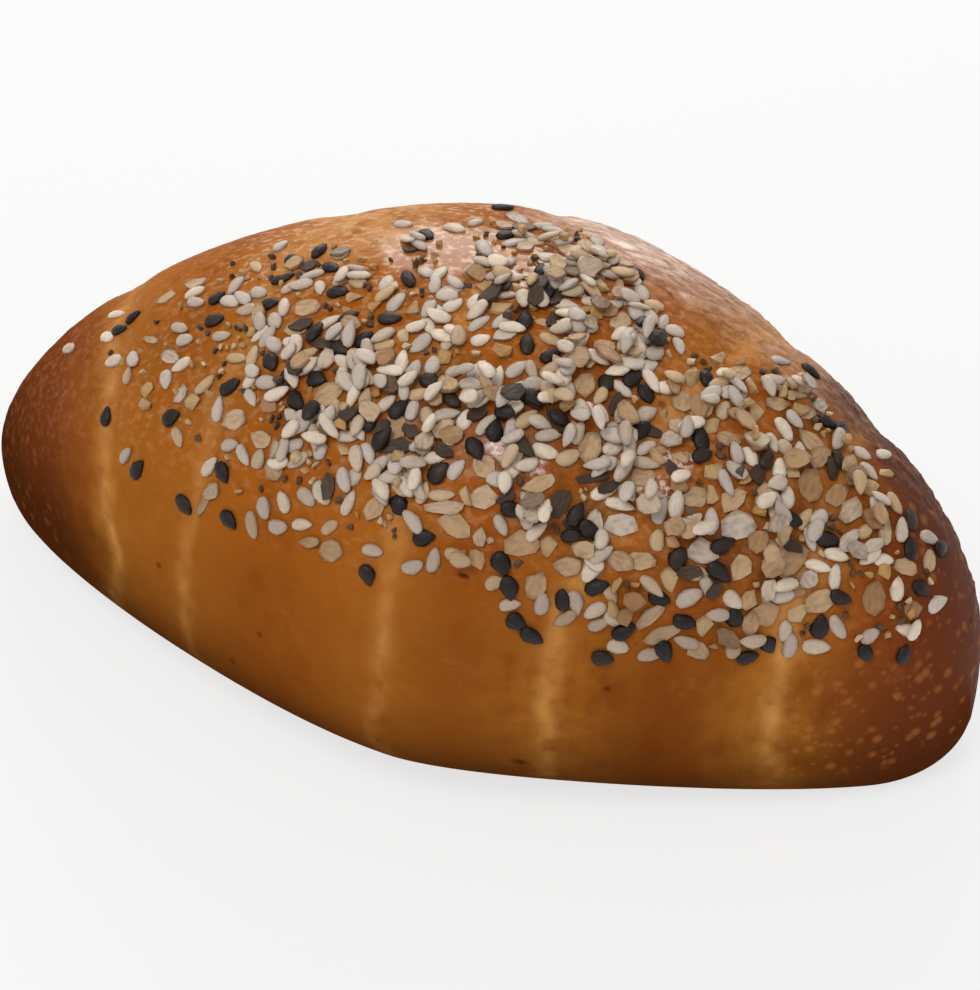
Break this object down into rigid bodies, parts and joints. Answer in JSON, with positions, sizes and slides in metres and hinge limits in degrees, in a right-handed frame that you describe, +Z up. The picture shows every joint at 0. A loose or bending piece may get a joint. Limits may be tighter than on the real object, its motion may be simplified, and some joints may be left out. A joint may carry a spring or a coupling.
{
  "type": "everything bread loaf",
  "caption": "Small oval bread loaf, blunt at one end and pointed at the other, browned, with sesame seeds, onion flakes and garlic grains baked on its crest and one shoulder.",
  "frame": {"origin": "on the table, at the middle of the loaf's flat underside", "axes": "+X along the loaf to its blunt end, +Z up, and -Y to the side that carries the toppings"},
  "size_m": [0.15, 0.0836, 0.0609],
  "materials": {
    "crust": null,
    "white_sesame": "smooth hulled sesame seed, dull satin",
    "black_sesame": "unhulled black sesame seed, dull satin",
    "onion_flake": "dried onion flake, thin and slightly see-through",
    "garlic_grain": "dried garlic grain, matt and crumbly"
  },
  "bodies": {
    "root": {"loaf": "crust"}
  },
  "joints": []
}
